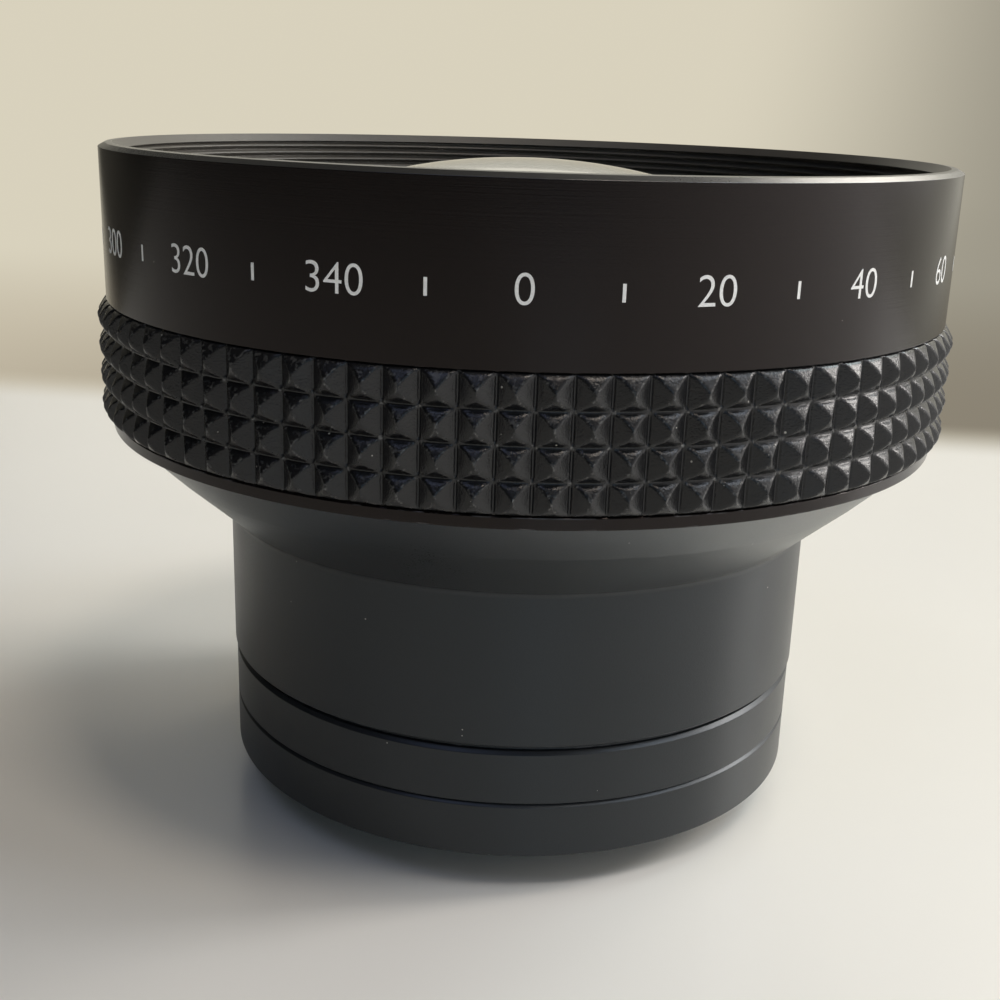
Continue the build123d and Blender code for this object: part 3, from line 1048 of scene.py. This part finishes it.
def cove():
    """The sheet, as rows of points from in front of the lens to the top of the backdrop."""
    profile = [(-SHEET_REACH, 0.0), (0.0, 0.0), (BEND_START, 0.0)]
    for step in range(1, BEND_STEPS + 1):
        angle = step / BEND_STEPS * pi / 2
        rise = BEND_RADIUS - BEND_RADIUS * cos(angle)
        profile.append((BEND_START + BEND_RADIUS * sin(angle), rise))
    profile.append((BEND_START + BEND_RADIUS, BACKDROP_TOP))
    widths = (-SHEET_REACH, 0.0, SHEET_REACH)
    points = [(x, y, z) for y, z in profile for x in widths]
    faces = []
    for row in range(len(profile) - 1):
        for column in range(len(widths) - 1):
            corner = len(widths) * row + column
            above = corner + len(widths)
            faces.append((corner, corner + 1, above + 1, above))
    mesh = bpy.data.meshes.new("floor_and_backdrop")
    mesh.from_pydata(points, [], faces)
    mesh.shade_smooth()
    mesh.materials.append(cove_material())
    return new_object("floor_and_backdrop", mesh)


cove()

# Studio light: three soft lamps behind to the right give the long highlights. Four weaker ones at the
# side, the front and the left fill the shadows, with wide light from the right and a little from above.
AIM = Vector((0, 0, 0.03))
LAMP_DISTANCE = 1.6


def soft_lamp(name, azimuth, elevation, size, power, colour):
    """An area light that faces the lens. azimuth turns from +X to +Y, and size is (width, height)."""
    flat = cos(radians(elevation))
    towards = Vector(
        (flat * cos(radians(azimuth)), flat * sin(radians(azimuth)), sin(radians(elevation)))
    )
    light = bpy.data.lights.new(name, "AREA")
    light.shape = "RECTANGLE"
    light.size, light.size_y = size
    light.energy = power
    light.color = colour
    lamp = new_object(name, light)
    lamp.location = AIM + towards * LAMP_DISTANCE
    lamp.rotation_euler = (-towards).to_track_quat("-Z", "Y").to_euler()


soft_lamp("window_low", 14, 29, (0.28, 0.42), power=10.4, colour=(1.0, 0.95, 0.91))
soft_lamp("window_high", 32, 42, (0.4, 0.4), power=5.4, colour=(0.85, 0.97, 1.0))
soft_lamp("window_behind", 52, 36, (0.33, 0.55), power=3.5, colour=(1.0, 0.93, 0.83))
soft_lamp("lamp_side", -15, 54, (0.4, 0.4), power=4.2, colour=(0.75, 0.85, 1.0))
soft_lamp("lamp_front", -50, 68, (0.3, 0.3), power=5.7, colour=(1.0, 0.88, 0.76))
soft_lamp("lamp_low", -80, 20, (0.5, 0.4), power=1.6, colour=(0.52, 0.76, 1.0))
soft_lamp("lamp_left", -120, 60, (0.6, 0.6), power=1.8, colour=(0.55, 0.65, 1.0))

ROOM_RIGHT = (1.92, 1.87, 1.85)
ROOM_TOP = (0.06, 0.055, 0.045)
ROOM_FALL_OFF = 2.0
ROOM_SEEN_COLOUR = (0.62, 0.58, 0.50, 1)
room = bpy.data.worlds.new("room")
bpy.context.scene.world = room
room.use_nodes = True
sky = room.node_tree
direction = put(sky, "TexCoord").outputs["Generated"]


def lobe(axis, colour):
    """Light that is strongest from one side and fades to none at right angles to it."""
    facing = put(sky, "VectorMath", {0: direction, 1: axis}, operation="DOT_PRODUCT").outputs["Value"]
    strength = maths(sky, "POWER", maths(sky, "MAXIMUM", facing, 0.0), ROOM_FALL_OFF)
    return scaled(sky, colour, strength)


lobes = {0: lobe((1, 0, 0), ROOM_RIGHT), 1: lobe((0, 0, 1), ROOM_TOP)}
room_light = put(sky, "VectorMath", lobes, operation="ADD").outputs[0]
ways = put(sky, "LightPath").outputs
seen_through = maths(sky, "MAXIMUM", ways["Is Camera Ray"], ways["Is Transmission Ray"])
room_colour = blended(sky, seen_through, room_light, ROOM_SEEN_COLOUR)
sky.links.new(room_colour, sky.nodes["Background"].inputs["Color"])

# Camera: the photograph's angle, from close in front and just above the front rim. It looks down on the
# lens and is tilted a little to one side.
CAMERA_LENS = 47.36
CAMERA_NEAR = 0.005
CAMERA_PLACE = Vector((0, -0.131365, 0.067832))
CAMERA_YAW = radians(-0.77942)
CAMERA_PITCH = radians(16.99177)
CAMERA_ROLL = radians(-1.8518)
ahead = Vector(
    (cos(CAMERA_PITCH) * sin(CAMERA_YAW), cos(CAMERA_PITCH) * cos(CAMERA_YAW), -sin(CAMERA_PITCH))
)
level_right = Vector((cos(CAMERA_YAW), -sin(CAMERA_YAW), 0))
level_up = level_right.cross(ahead)
right = cos(CAMERA_ROLL) * level_right - sin(CAMERA_ROLL) * level_up
above = sin(CAMERA_ROLL) * level_right + cos(CAMERA_ROLL) * level_up
turned_to = Matrix((right, above, -ahead)).transposed().to_4x4()
camera_data = bpy.data.cameras.new("camera")
camera_data.lens = CAMERA_LENS
camera_data.clip_start = CAMERA_NEAR
camera = new_object("camera", camera_data)
camera.matrix_world = Matrix.Translation(CAMERA_PLACE) @ turned_to
bpy.context.scene.camera = camera
bpy.context.scene.view_settings.view_transform = "Standard"
